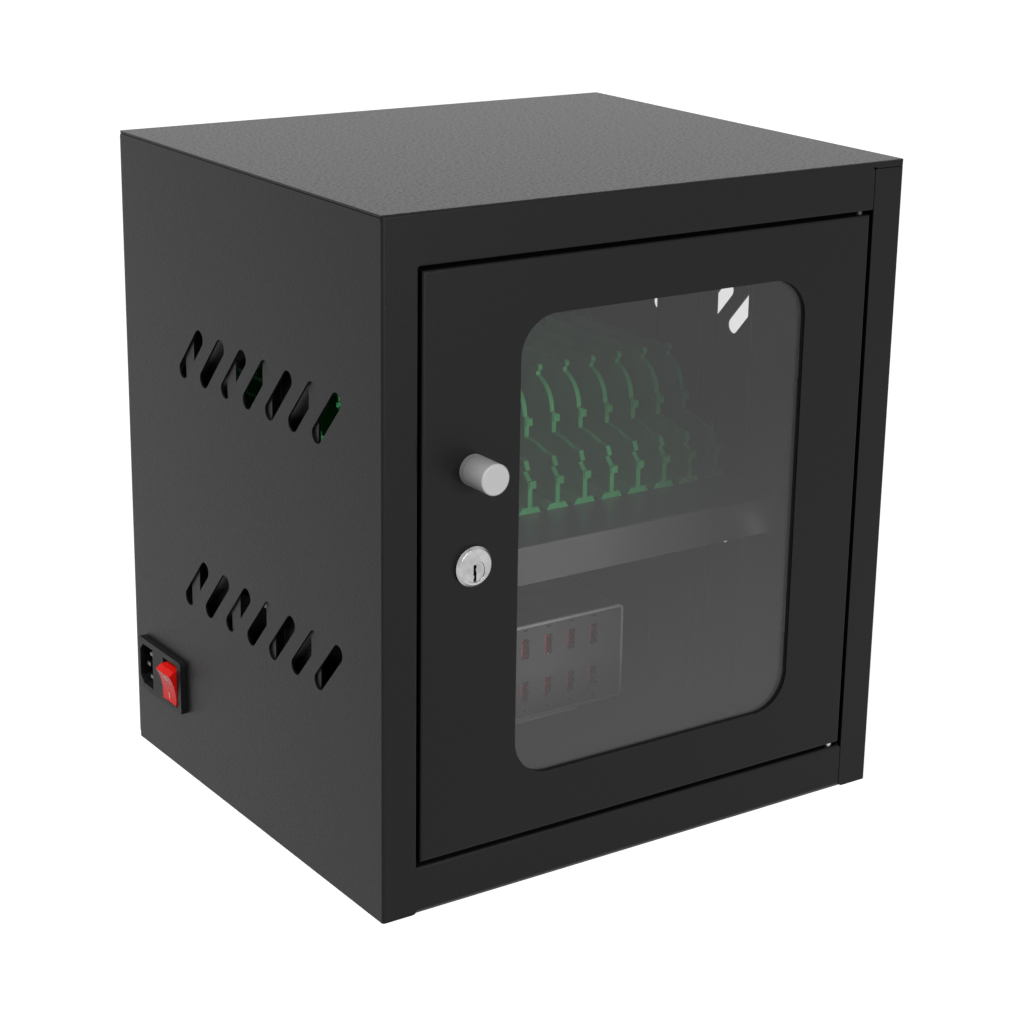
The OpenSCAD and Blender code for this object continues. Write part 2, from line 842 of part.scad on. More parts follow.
module charger_faceplate() {
    inner_w = charger_w - 2 * charger_rim;
    inner_h = charger_h - 2 * charger_rim;
    face_y = charger_y + faceplate_recess;
    color([0.2, 0.2, 0.21])
    difference() {
        in_charger_front(0, 0)
            along_y(face_y, rim_back_y) rounded_rect(inner_w, inner_h, charger_r - charger_rim);
        each_port()
            along_y(face_y - over, rim_back_y + over) port_outline(port_shell_t);
        in_charger_front(0, 0)
            along_y(face_y - over, rim_back_y + over) status_light_outlines();
    }
}

module usb_shells() {
    shell_y = charger_y + faceplate_recess + port_sink;
    color("silver")
    each_port()
        difference() {
            along_y(shell_y, shell_y + port_d) port_outline(port_shell_t);
            along_y(shell_y - over, shell_y + port_d + over) port_outline(0);
        }
}

module usb_tongues() {
    back_y0 = charger_y + faceplate_recess + port_sink + port_d;
    color("firebrick")
    each_port() {
        along_y(back_y0 - tongue_back, back_y0) port_outline(0);
        along_y(back_y0 - tongue_back - tongue_l, back_y0 - tongue_back)
            translate([-tongue_offset, 0]) square([tongue_t, tongue_h], center = true);
    }
}

module status_lights() {
    light_y = charger_y + faceplate_recess;
    color("gray")
    in_charger_front(0, 0)
        along_y(light_y, rim_back_y) status_light_outlines();
}

module charger_pad() {
    color("whitesmoke")
    translate([pad_right_x - pad_w, charger_y + faceplate_recess, sheet_t])
        cube([pad_w, charger_d - 2 * charger_wall, pad_h]);
}

// The plug recess, with its two chamfered corners towards the back
module socket_outline() {
    half_w = socket_w / 2;
    half_h = socket_h / 2;
    polygon([
        [-half_w, -half_h], [half_w - socket_chamfer, -half_h], [half_w, -half_h + socket_chamfer],
        [half_w, half_h - socket_chamfer], [half_w - socket_chamfer, half_h], [-half_w, half_h]]);
}

// Outlines of the three blades, drawn in Y and Z
module blade_outlines(l, t) {
    for (step = [-1, 0, 1])
        translate([step == 0 ? blade_step_y : -blade_step_y, step * blade_step_z])
            square([l, t], center = true);
}

module inlet_housing() {
    color([0.1, 0.1, 0.1])
    translate([0, inlet_y, inlet_z])
        difference() {
            union() {
                along_x(inlet_face_x, -wall_x)
                    rounded_rect(inlet_flange_l, inlet_flange_h, inlet_corner_r);
                along_x(-wall_x - sheet_t, inlet_back_x) square([body_l, body_h], center = true);
            }
            translate([0, socket_y, 0]) {
                along_x(inlet_face_x - over, inlet_face_x + socket_d) socket_outline();
                along_x(inlet_face_x, inlet_back_x + over) blade_outlines(blade_l, blade_t);
            }
            translate([0, rocker_y, 0]) {
                along_x(inlet_face_x - over, inlet_face_x + rocker_hole_depth)
                    square([rocker_hole_w, rocker_hole_h], center = true);
                translate([pivot_x, 0, 0])
                    rod_y(trunnion_d + 2 * running,
                        -rocker_hole_w / 2 - trunnion_l - free_gap, rocker_hole_w / 2 + trunnion_l + free_gap);
            }
        }
}

module inlet_pins() {
    color("silver")
    translate([0, inlet_y + socket_y, inlet_z])
        along_x(inlet_face_x + blade_sink, inlet_back_x) blade_outlines(blade_l, blade_t);
}

module inlet_terminals() {
    color("goldenrod")
    translate([0, inlet_y, inlet_z])
        along_x(inlet_back_x, inlet_back_x + tab_l) {
            translate([socket_y, 0]) blade_outlines(tab_w, tab_t);
            for (side = [-1, 1])
                translate([rocker_y, side * switch_tab_step]) square([tab_w, tab_t], center = true);
        }
}

// Section of the rocker round its pivot, its face towards -X
module rocker_section() {
    difference() {
        polygon([
            [-rocker_rise, rocker_half], [-rocker_shoulder_rise, rocker_shoulder],
            [-rocker_belly, rocker_shoulder - 0.5], [rocker_heel, rocker_heel],
            [rocker_heel, -rocker_heel], [-rocker_belly, -rocker_shoulder + 0.5],
            [-rocker_shoulder_rise, -rocker_shoulder], [-rocker_rise, -rocker_half]]);
        translate([-rocker_rise - rocker_hollow_r + rocker_sag, 0]) circle(rocker_hollow_r, $fn = 96);
    }
}

module rocker() {
    trunnion_half = rocker_hole_w / 2 + trunnion_l;
    color("red")
    translate([pivot_x, pivot_y, inlet_z]) {
        along_y(-rocker_w / 2, rocker_w / 2) rotate(rocker_tilt) rocker_section();
        rod_y(trunnion_d, -trunnion_half, trunnion_half);
    }
}

module window_outline(grow) {
    translate([window_mid_x, window_mid_z])
        rounded_rect(window_w + 2 * grow, window_h + 2 * grow, grow > 0 ? corner_r : window_r);
}

// A tray seen from its end, its rounded front at Y = 0
module tray_outline(half_w, depth, r) {
    translate([-half_w, r]) square([2 * half_w, depth - r]);
    translate([-half_w + r, 0]) square([2 * (half_w - r), r]);
    for (side = [-1, 1])
        translate([side * (half_w - r), r]) circle(r);
}

// The door's outer shape, drawn in by the inset
module door_block(inset, depth) {
    translate([0, front_y + inset, (door_low_z + door_high_z) / 2])
        intersection() {
            along_z(-door_half_h + inset, door_half_h - inset)
                tray_outline(door_x - inset, depth, fold_r - inset);
            along_x(-door_x + inset, door_x - inset)
                rotate(-90) tray_outline(door_half_h - inset, depth, fold_r - inset);
        }
}

module door_panel() {
    color("dimgray")
    difference() {
        door_block(0, door_d);
        door_block(sheet_t, door_d);
        along_y(front_y - over, door_in_y + over) window_outline(0);
        translate([latch_x, 0, knob_z])
            rod_y(knob_screw_d + 2 * running, front_y - over, door_in_y + over);
        translate([latch_x, 0, lock_z])
            rod_y(barrel_d + 2 * running, front_y - over, door_in_y + over);
        for (z = [door_low_z, door_high_z - sheet_t])
            translate([hinge_x, hinge_y, z - over])
                cylinder(d = pin_d + 2 * running, h = sheet_t + 2 * over);
    }
}

module window_gasket() {
    color([0.06, 0.06, 0.06])
    along_y(door_in_y, gasket_back_y)
        difference() {
            window_outline(pane_margin);
            window_outline(0);
        }
}

module window_pane() {
    color([0.85, 0.9, 0.92, 0.3])
    along_y(gasket_back_y, pane_back_y) window_outline(pane_margin);
}

// Places of the clips: middle of the pane's edge, and the turn that points a clip outwards
module each_clip() {
    half_w = window_w / 2 + pane_margin;
    half_h = window_h / 2 + pane_margin;
    translate([window_mid_x, 0, window_mid_z]) {
        for (side = [0, 1], z = [-0.3, 0.3])
            mirror([side, 0, 0]) translate([half_w, 0, z * window_h]) children();
        for (side = [0, 1], x = [-0.3, 0.3])
            mirror([0, 0, side]) translate([x * window_w, 0, half_h]) rotate([0, -90, 0]) children();
    }
}

// A clip folded over the edge of the pane, which lies at the origin, its foot on the sheet
module pane_clip() {
    translate([0, 0, -clip_plate_w / 2]) {
        translate([-clip_hold, pane_back_y, 0])
            cube([clip_hold + free_gap + clip_plate_t, clip_plate_t, clip_plate_w]);
        translate([free_gap, door_in_y, 0])
            cube([clip_plate_t, pane_back_y - door_in_y + clip_plate_t, clip_plate_w]);
        translate([free_gap, door_in_y, 0])
            cube([clip_foot, clip_plate_t, clip_plate_w]);
    }
}

module pane_clips() {
    color("silver")
    difference() {
        each_clip() pane_clip();
        each_clip()
            translate([free_gap + clip_foot / 2 + clip_plate_t / 2, 0, 0])
                rod_y(stud_d + 2 * running, door_in_y - over, door_in_y + clip_plate_t + over);
    }
}

// Welded studs with their nuts
module pane_studs() {
    nut_y = door_in_y + clip_plate_t;
    color("silver")
    each_clip()
        translate([free_gap + clip_foot / 2 + clip_plate_t / 2, 0, 0]) {
            rod_y(stud_d, door_in_y, door_in_y + stud_l);
            along_y(nut_y, nut_y + stud_nut_h) circle(d = stud_nut_w / cos(30), $fn = 6);
        }
}

module knob() {
    r = knob_d / 2;
    color("lightgray")
    translate([latch_x, front_y, knob_z]) rotate([90, 0, 0])
        difference() {
            rotate_extrude()
                polygon([
                    [0, 0], [r, 0], [r, knob_groove_y], [r - knob_groove_d, knob_groove_y],
                    [r - knob_groove_d, knob_groove_y + knob_groove_w], [r, knob_groove_y + knob_groove_w],
                    [r, knob_l - knob_edge], [r - knob_edge, knob_l], [0, knob_l]]);
            translate([0, 0, -over]) cylinder(d = knob_screw_d + 2 * running, h = knob_screw_in + over);
        }
}

module knob_screw() {
    color("silver")
    translate([latch_x, door_in_y, knob_z])
        domed_screw(knob_screw_d, knob_screw_in, knob_screw_head_d, knob_screw_head_h, 1);
}

module lower_hinge_pin() {
    color("silver")
    translate([hinge_x, hinge_y, 0]) {
        translate([0, 0, rail_h - sheet_t - pin_head_h])
            cylinder(d = pin_d, h = pin_head_h + sheet_t + door_gap + sheet_t + pin_reach);
        translate([0, 0, rail_h]) cylinder(d = pin_collar_d, h = door_gap);
    }
}

module upper_hinge_pin() {
    color("silver")
    translate([hinge_x, hinge_y, door_high_z]) {
        translate([0, 0, -sheet_t - pin_head_h]) cylinder(d = pin_head_d, h = pin_head_h);
        translate([0, 0, -sheet_t - pin_head_h])
            cylinder(d = pin_d, h = pin_head_h + 2 * sheet_t + door_gap + pin_reach);
    }
}

module lock_housing() {
    color("silver")
    translate([latch_x, 0, lock_z])
        difference() {
            union() {
                translate([0, front_y, rosette_rise]) rotate([90, 0, 0]) rotate_extrude()
                    polygon([
                        [0, 0], [rosette_d / 2, 0], [rosette_d / 2, rosette_h - rosette_bevel],
                        [rosette_face_d / 2, rosette_h], [0, rosette_h]]);
                rod_y(barrel_d, front_y, barrel_back_y);
            }
            rod_y(plug_d + 2 * running, front_y - rosette_h - over, barrel_back_y + over);
        }
}

module lock_nut() {
    color("silver")
    translate([latch_x, 0, lock_z])
        difference() {
            along_y(door_in_y, door_in_y + nut_h) circle(d = nut_w, $fn = 6);
            rod_y(barrel_d + 2 * running, door_in_y - over, door_in_y + nut_h + over);
        }
}

// The key slot, narrowed by a ward on each side
module keyway_outline() {
    difference() {
        square([keyway_w, keyway_h], center = true);
        for (side = [-1, 1])
            translate([side * keyway_w / 2, side * keyway_h / 5])
                square([ward_w, ward_h], center = true);
    }
}

module lock_plug() {
    face_y = front_y - rosette_h + plug_sink;
    color("silver")
    translate([latch_x, 0, lock_z])
        difference() {
            union() {
                rod_y(plug_d, face_y, cam_y);
                along_y(cam_y, cam_y + cam_t) square(square_w, center = true);
            }
            along_y(face_y - over, face_y + keyway_d) translate([0, -keyway_drop]) keyway_outline();
            rod_y(cam_screw_d, cam_y + cam_t - cam_screw_in, cam_y + cam_t + over);
        }
}

// The cam hangs from the plug's square and points down while the lock is open
module lock_cam() {
    color("silver")
    translate([latch_x, 0, lock_z])
        difference() {
            along_y(cam_y, cam_y + cam_t) {
                circle(d = cam_w);
                translate([-cam_w / 2, -cam_reach]) square([cam_w, cam_reach]);
            }
            along_y(cam_y - over, cam_y + cam_t + over) square(square_w, center = true);
        }
}

module cam_screw() {
    color("silver")
    translate([latch_x, cam_y + cam_t, lock_z])
        domed_screw(cam_screw_d, cam_screw_in, cam_screw_head_d, cam_screw_head_h, 1);
}

left_side_panel();
right_side_panel();
top_panel();
base_panel();
back_panel();
back_screws();
left_front_channel();
left_rear_channel();
right_front_channel();
right_rear_channel();
shelf();
shelf_rivets();
for (i = [1 : divider_count])
    divider(i);
charger_case();
charger_rim();
charger_faceplate();
usb_shells();
usb_tongues();
status_lights();
charger_pad();
inlet_housing();
inlet_pins();
inlet_terminals();
rocker();
door_panel();
window_gasket();
window_pane();
pane_clips();
pane_studs();
knob();
knob_screw();
lower_hinge_pin();
upper_hinge_pin();
lock_housing();
lock_nut();
lock_plug();
lock_cam();
cam_screw();
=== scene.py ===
import json
import math

import bmesh
import bpy
from mathutils import Matrix, Vector


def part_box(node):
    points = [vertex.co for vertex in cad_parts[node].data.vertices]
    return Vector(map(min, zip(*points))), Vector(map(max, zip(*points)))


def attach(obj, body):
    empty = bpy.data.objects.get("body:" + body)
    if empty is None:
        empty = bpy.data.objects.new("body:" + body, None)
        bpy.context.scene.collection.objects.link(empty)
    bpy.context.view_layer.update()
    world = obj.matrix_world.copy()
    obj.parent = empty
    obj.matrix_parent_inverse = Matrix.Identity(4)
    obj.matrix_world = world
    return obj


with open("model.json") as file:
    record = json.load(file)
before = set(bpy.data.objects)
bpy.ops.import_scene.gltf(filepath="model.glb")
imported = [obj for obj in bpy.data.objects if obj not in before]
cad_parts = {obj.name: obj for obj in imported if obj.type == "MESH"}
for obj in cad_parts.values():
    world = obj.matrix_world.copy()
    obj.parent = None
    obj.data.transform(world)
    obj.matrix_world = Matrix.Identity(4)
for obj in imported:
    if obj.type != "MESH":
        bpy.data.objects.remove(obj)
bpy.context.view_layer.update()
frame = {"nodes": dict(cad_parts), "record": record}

# Lockable steel cabinet with upright phone slots, a charging hub and a windowed door.
# Metres. X runs to the right seen from the front, the door faces -Y, +Z is up.

MM = 0.001

# Camera, fitted to the photograph's perspective
CAMERA_AT = Vector((-0.70619, -1.04429, 0.56620))
CAMERA_RIGHT = Vector((0.81920, -0.57316, 0.01997))
CAMERA_DOWN = Vector((-0.15415, -0.25360, -0.95495))
CAMERA_FORWARD = Vector((0.55240, 0.77921, -0.29611))
CAMERA_LENS = 82.21
CAMERA_SENSOR = 36
CAMERA_SHIFT = (-0.0371, -0.0400)
CAMERA_NEAR = 0.01


def make_camera():
    data = bpy.data.cameras.new("Camera")
    data.lens = CAMERA_LENS
    data.sensor_width = CAMERA_SENSOR
    data.shift_x, data.shift_y = CAMERA_SHIFT
    data.clip_start = CAMERA_NEAR
    camera = bpy.data.objects.new("Camera", data)
    bpy.context.collection.objects.link(camera)
    axes = Matrix((CAMERA_RIGHT, -CAMERA_DOWN, -CAMERA_FORWARD)).transposed()
    camera.matrix_world = Matrix.Translation(CAMERA_AT) @ axes.to_4x4()
    bpy.context.scene.camera = camera


make_camera()

# Shader nodes


class Shader:
    """A material with one Principled shader, and short calls for the nodes that feed it."""

    def __init__(self, name, **values):
        self.material = bpy.data.materials.new(name)
        self.material.use_nodes = True
        self.nodes = self.material.node_tree.nodes
        self.links = self.material.node_tree.links
        self.bsdf = self.nodes["Principled BSDF"]
        self.output = self.nodes["Material Output"]
        self.coords = self.nodes.new("ShaderNodeTexCoord").outputs["Object"]
        self.set(**values)

    def set(self, **values):
        for name, value in values.items():
            self.bsdf.inputs[name.replace("_", " ")].default_value = value

    def stretched(self, scale):
        """Object coordinates with their own scale on each axis."""
        mapping = self.nodes.new("ShaderNodeMapping")
        mapping.inputs["Scale"].default_value = scale
        self.links.new(self.coords, mapping.inputs["Vector"])
        return mapping.outputs["Vector"]

    def noise(self, scale, detail=2.0, rough=0.5, vector=None):
        node = self.nodes.new("ShaderNodeTexNoise")
        node.inputs["Scale"].default_value = scale
        node.inputs["Detail"].default_value = detail
        node.inputs["Roughness"].default_value = rough
        self.links.new(vector or self.coords, node.inputs["Vector"])
        return node.outputs["Fac"]

    def spread(self, value, low, high, start=0.3, end=0.7):
        """Low where value is at or under start, high where it is at or over end."""
        node = self.nodes.new("ShaderNodeMapRange")
        node.inputs["From Min"].default_value = start
        node.inputs["From Max"].default_value = end
        node.inputs["To Min"].default_value = low
        node.inputs["To Max"].default_value = high
        self.links.new(value, node.inputs["Value"])
        return node.outputs["Result"]

    def mixed(self, number, value, share):
        """The plain number where share is 0, and the value of a node where it is 1."""
        node = self.nodes.new("ShaderNodeMix")  # inputs 0, 2 and 3: share and the two numbers
        self.links.new(share, node.inputs[0])
        node.inputs[2].default_value = number
        self.links.new(value, node.inputs[3])
        return node.outputs[0]

    def faces_up(self):
        """1 where the surface looks straight up, 0 on its sides."""
        direction = self.nodes.new("ShaderNodeTexCoord").outputs["Normal"]
        return self.spread(self.split(direction).outputs["Z"], 0.0, 1.0, 0.8, 0.95)

    def split(self, vector):
        node = self.nodes.new("ShaderNodeSeparateXYZ")
        self.links.new(vector, node.inputs["Vector"])
        return node

    def colours(self, value, dark, light, start=0.35, end=0.65):
        """Base colour from dark to light as value goes from start to end."""
        node = self.nodes.new("ShaderNodeValToRGB")
        node.color_ramp.elements[0].position = start
        node.color_ramp.elements[1].position = end
        node.color_ramp.elements[0].color = (*dark, 1)
        node.color_ramp.elements[1].color = (*light, 1)
        self.links.new(value, node.inputs["Fac"])
        self.links.new(node.outputs["Color"], self.bsdf.inputs["Base Color"])

    def roughness(self, value, low, high):
        self.links.new(self.spread(value, low, high), self.bsdf.inputs["Roughness"])

    def bump(self, height, strength, distance, edge_radius=0.0):
        """Small relief from height, and softened edges where edge_radius is given."""
        node = self.nodes.new("ShaderNodeBump")
        node.inputs["Strength"].default_value = strength
        node.inputs["Distance"].default_value = distance
        self.links.new(height, node.inputs["Height"])
        if edge_radius:
            bevel = self.nodes.new("ShaderNodeBevel")
            bevel.samples = 4
            bevel.inputs["Radius"].default_value = edge_radius
            self.links.new(bevel.outputs["Normal"], node.inputs["Normal"])
        self.links.new(node.outputs["Normal"], self.bsdf.inputs["Normal"])


COAT_GLOSS = 0.26
SPECKLE_GLOSS = (0.0, 0.54)


def powder_coat(name="powder_coat", scale=900, speckled_top=False):
    """Black powder coat with a fine grain, which a speckled top shows in its gloss too."""
    s = Shader(name, IOR=1.33, Specular_IOR_Level=COAT_GLOSS)
    grain = s.noise(scale, 3.0, 0.65)
    s.colours(grain, (0.005, 0.005, 0.0053), (0.007, 0.007, 0.0075))
    if speckled_top:
        gloss = s.mixed(COAT_GLOSS, s.spread(grain, *SPECKLE_GLOSS), s.faces_up())
        s.links.new(gloss, s.bsdf.inputs["Specular IOR Level"])
    s.roughness(s.noise(400, 2.0), 0.34, 0.38)
    s.bump(grain, 1.0, 0.12 * MM)
    return s.material


def shelf_coat():
    """The shelf's coat: a little paler and glossier than the cabinet's."""
    s = Shader("shelf_coat", IOR=1.8)
    grain = s.noise(900, 3.0, 0.65)
    s.colours(grain, (0.036, 0.036, 0.036), (0.050, 0.050, 0.050))
    s.roughness(s.noise(400, 2.0), 0.30, 0.34)
    s.bump(grain, 0.12, 0.08 * MM)
    return s.material


def dark_steel():
    """Blackened steel screws."""
    s = Shader("black_screw", Metallic=0.7, IOR=1.5)
    s.colours(s.noise(700), (0.02, 0.02, 0.02), (0.05, 0.05, 0.05))
    s.roughness(s.noise(250), 0.3, 0.45)
    s.bump(s.noise(1800), 0.2, 0.03 * MM, 0.2 * MM)
    return s.material


def zinc():
    """Zinc plate: bright grey with a faint crystalline mottle."""
    s = Shader("zinc", Metallic=1.0)
    s.colours(s.noise(260, 4.0), (0.42, 0.43, 0.44), (0.62, 0.62, 0.60))
    s.roughness(s.noise(500, 3.0), 0.25, 0.42)
    s.bump(s.noise(1500), 0.15, 0.03 * MM, 0.2 * MM)
    return s.material


def turned_steel():
    """Bright steel turned on a lathe, its fine rings along Z."""
    s = Shader("pin_steel", Metallic=1.0)
    rings = s.noise(1, 2.0, vector=s.stretched((60, 60, 9000)))
    s.colours(rings, (0.50, 0.50, 0.51), (0.66, 0.66, 0.66))
    s.roughness(rings, 0.2, 0.32)
    s.bump(rings, 0.2, 0.02 * MM, 0.2 * MM)
    return s.material


def recess_shade_nickel():
    """Nickel plate on the inlet's pins, with fine lines along them; its colour is painted dark as
    the shade in the inlet's recess, so that the pins glint little.
    """
    s = Shader("recess_shade_nickel", Metallic=1.0)
    lines = s.noise(1, 2.0, vector=s.stretched((200, 6000, 6000)))
    # Painted shade: the nickel's colour is kept far darker than real nickel, standing in for the
    # recess's shade
    s.colours(lines, (0.10, 0.10, 0.10), (0.16, 0.16, 0.16))
    s.roughness(lines, 0.3, 0.4)
    s.bump(lines, 0.15, 0.02 * MM)
    return s.material


def green_plastic():
    """Glossy green moulding with a slight flow pattern."""
    s = Shader("green_plastic", IOR=1.45)
    s.colours(s.noise(40, 3.0), (0.026, 0.27, 0.075), (0.040, 0.33, 0.105))
    s.roughness(s.noise(120, 2.0), 0.36, 0.48)
    s.bump(s.noise(420, 2.0), 0.12, 0.05 * MM, 0.3 * MM)
    return s.material


def moulded(name, dark, light, rough, grain=900, strength=0.25, ior=1.49):
    """Moulded plastic with a spark-eroded grain."""
    s = Shader(name, IOR=ior)
    texture = s.noise(grain, 3.0, 0.6)
    s.colours(texture, dark, light)
    s.roughness(s.noise(60, 2.0), rough - 0.05, rough + 0.05)
    s.bump(texture, strength, 0.06 * MM, 0.25 * MM)
    return s.material


def port_steel():
    """Plated sheet of the port shells, rolled along Y."""
    s = Shader("port_steel", Metallic=1.0)
    s.colours(s.noise(400, 3.0), (0.55, 0.55, 0.56), (0.72, 0.72, 0.72))
    s.roughness(s.noise(600, 2.0), 0.2, 0.34)
    lines = s.noise(1, 2.0, vector=s.stretched((900, 4000, 900)))
    s.bump(lines, 0.15, 0.02 * MM)
    return s.material


def pad_foam():
    """Pale closed-cell foam."""
    s = Shader("pad_foam", IOR=1.45, Sheen_Weight=0.2)
    cells = s.noise(1100, 4.0, 0.7)
    s.colours(cells, (0.55, 0.55, 0.53), (0.78, 0.78, 0.76))
    s.roughness(s.noise(80), 0.75, 0.9)
    s.bump(cells, 0.5, 0.15 * MM)
    return s.material


def brass():
    """Dull brass terminals."""
    s = Shader("terminal_brass", Metallic=1.0)
    s.colours(s.noise(300, 3.0), (0.48, 0.36, 0.13), (0.66, 0.52, 0.24))
    s.roughness(s.noise(500), 0.25, 0.4)
    s.bump(s.noise(1400), 0.15, 0.02 * MM, 0.1 * MM)
    return s.material


def rocker_plastic():
    """Glossy red moulding that lets a little light through."""
    s = Shader("rocker_plastic", IOR=1.15)
    s.set(Subsurface_Weight=0.1, Subsurface_Scale=1.0 * MM)
    s.colours(s.noise(90, 2.0), (0.68, 0.008, 0.006), (0.78, 0.014, 0.010))
    s.roughness(s.noise(200, 2.0), 0.22, 0.32)
    s.bump(s.noise(600, 2.0), 0.1, 0.03 * MM, 0.35 * MM)
    return s.material


PANE_CLEAR = (0.928, 0.951)
PANE_HEIGHTS = (50 * MM, 250 * MM)
PANE_TINT = (0.85, 0.85, 0.85, 1)


def clear_pane():
    """Smoked acrylic whose faint matt haze is thicker below.

    Shadow light and soft bounced light go straight through it.
    """
    s = Shader("clear_pane", IOR=1.01, Roughness=0.0)
    s.colours(s.noise(4, 2.0), (0.68, 0.68, 0.69), (0.72, 0.72, 0.73))
    clarity = s.spread(s.split(s.coords).outputs["Z"], *PANE_CLEAR, *PANE_HEIGHTS)
    s.links.new(clarity, s.bsdf.inputs["Transmission Weight"])
    path = s.nodes.new("ShaderNodeLightPath")
    soft = s.nodes.new("ShaderNodeMath")
    soft.operation = "MAXIMUM"
    s.links.new(path.outputs["Is Shadow Ray"], soft.inputs[0])
    s.links.new(path.outputs["Is Diffuse Ray"], soft.inputs[1])
    clear = s.nodes.new("ShaderNodeBsdfTransparent")
    clear.inputs["Color"].default_value = PANE_TINT
    mix = s.nodes.new("ShaderNodeMixShader")
    s.links.new(soft.outputs["Value"], mix.inputs["Fac"])
    s.links.new(s.bsdf.outputs["BSDF"], mix.inputs[1])
    s.links.new(clear.outputs["BSDF"], mix.inputs[2])
    s.links.new(mix.outputs["Shader"], s.output.inputs["Surface"])
    return s.material


def knob_aluminium():
    """Satin aluminium turned round the knob's axis: rings on its end, lines round its side."""
    s = Shader("knob_aluminium", Metallic=0.22)
    low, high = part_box("knob")
    middle = [-(a + b) / 2 for a, b in zip(low, high)]
    centred = s.nodes.new("ShaderNodeVectorMath")
    centred.operation = "ADD"
    centred.inputs[1].default_value = (middle[0], 0, middle[2])
    s.links.new(s.coords, centred.inputs[0])
    parts = s.split(centred.outputs["Vector"])
    flat = s.nodes.new("ShaderNodeCombineXYZ")
    s.links.new(parts.outputs["X"], flat.inputs["X"])
    s.links.new(parts.outputs["Z"], flat.inputs["Z"])
    radius = s.nodes.new("ShaderNodeVectorMath")
    radius.operation = "LENGTH"
    s.links.new(flat.outputs["Vector"], radius.inputs[0])
    turned = s.nodes.new("ShaderNodeCombineXYZ")
    s.links.new(radius.outputs["Value"], turned.inputs["X"])
    s.links.new(parts.outputs["Y"], turned.inputs["Y"])
    rings = s.noise(5000, 2.0, 0.6, vector=turned.outputs["Vector"])
    s.colours(rings, (0.34, 0.34, 0.34), (0.44, 0.44, 0.44))
    s.roughness(rings, 0.4, 0.5)
    s.bump(rings, 0.25, 0.02 * MM, 0.3 * MM)
    return s.material


def lock_chrome():
    """Satin chrome plate."""
    s = Shader("lock_chrome", Metallic=1.0)
    s.colours(s.noise(150, 3.0), (0.32, 0.32, 0.32), (0.42, 0.42, 0.42))
    s.roughness(s.noise(300, 2.0), 0.2, 0.3)
    s.bump(s.noise(500, 2.0), 0.08, 0.02 * MM, 0.3 * MM)
    return s.material


def gasket_rubber():
    """Matt black rubber."""
    s = Shader("gasket_rubber", IOR=1.3)
    s.colours(s.noise(600, 3.0), (0.006, 0.006, 0.006), (0.014, 0.014, 0.014))
    s.roughness(s.noise(200), 0.6, 0.75)
    s.bump(s.noise(1200), 0.3, 0.05 * MM)
    return s.material


MATERIALS = {
    "powder_coat": powder_coat(),
    "black_screw": dark_steel(),
    "zinc": zinc(),
    "pin_steel": turned_steel(),
    "green_plastic": green_plastic(),
    "charger_plastic": moulded(
        "charger_plastic", (0.010, 0.010, 0.011), (0.020, 0.020, 0.021), 0.4),
    "rim_plastic": moulded(
        "rim_plastic", (0.42, 0.42, 0.42), (0.50, 0.50, 0.50), 0.4, 500, 0.15),
    "faceplate_plastic": moulded(
        "faceplate_plastic", (0.088, 0.088, 0.088), (0.104, 0.104, 0.104), 0.5),
    "port_steel": port_steel(),
    "tongue_plastic": moulded(
        "tongue_plastic", (0.42, 0.05, 0.06), (0.52, 0.08, 0.09), 0.4),
    "light_lens": moulded(
        "light_lens", (0.02, 0.02, 0.02), (0.035, 0.035, 0.035), 0.2, 500, 0.1),
    "pad_foam": pad_foam(),
    "inlet_plastic": moulded(
        "inlet_plastic", (0.008, 0.008, 0.009), (0.014, 0.014, 0.015), 0.42, 700, ior=1.2),
    "terminal_brass": brass(),
    "rocker_plastic": rocker_plastic(),
    "gasket_rubber": gasket_rubber(),
    "clear_pane": clear_pane(),
    "knob_aluminium": knob_aluminium(),
    "lock_chrome": lock_chrome(),
}

# Nodes whose material differs from the rest of their slot
NODE_MATERIALS = {
    "shelf": shelf_coat(),
    "top_panel": powder_coat("speckled_coat", 600, speckled_top=True),
    # The inlet's pins get nickel whose colour is painted dark with the shade of the inlet's recess
    "inlet_pins": recess_shade_nickel(),
}


def dress_nodes():
    for part in frame["record"]["subparts"]:
        node = frame["nodes"][part["node"]]
        material = NODE_MATERIALS.get(part["node"], MATERIALS[part["material_slot"]])
        if not node.material_slots:
            node.data.materials.append(material)
        for slot in node.material_slots:
            slot.material = material


dress_nodes()

# Marks on the rocker's hollow face: a ring at the upper end, a bar at the lower end

ROCKER_RISE = 11 * MM
ROCKER_HALF = 9.5 * MM
ROCKER_SAG = 1.5 * MM
ROCKER_TILT = math.radians(12)
MARK_RISE = 0.06 * MM
MARK_ROOT = -0.1 * MM
BAR_HALF = 0.45 * MM
BAR_STOPS = [v * MM for v in (-7.6, -6.7, -5.8, -4.9, -4.0)]
RING_AT = 5.2 * MM
RING_RADII = (1.15 * MM, 1.7 * MM)
RING_STEPS = 40


def rocker_face(pivot, y, along, rise):
    """A point over the hollow face: along runs up the face from its middle, rise stands off it."""
    radius = (ROCKER_HALF ** 2 + ROCKER_SAG ** 2) / (2 * ROCKER_SAG)
    turn = math.asin(along / radius)
    x = ROCKER_SAG - ROCKER_RISE - radius + (radius - rise) * math.cos(turn)
    z = (radius - rise) * math.sin(turn)
    return (pivot[0] + x * math.cos(ROCKER_TILT) - z * math.sin(ROCKER_TILT), pivot[1] + y,
            pivot[2] + x * math.sin(ROCKER_TILT) + z * math.cos(ROCKER_TILT))


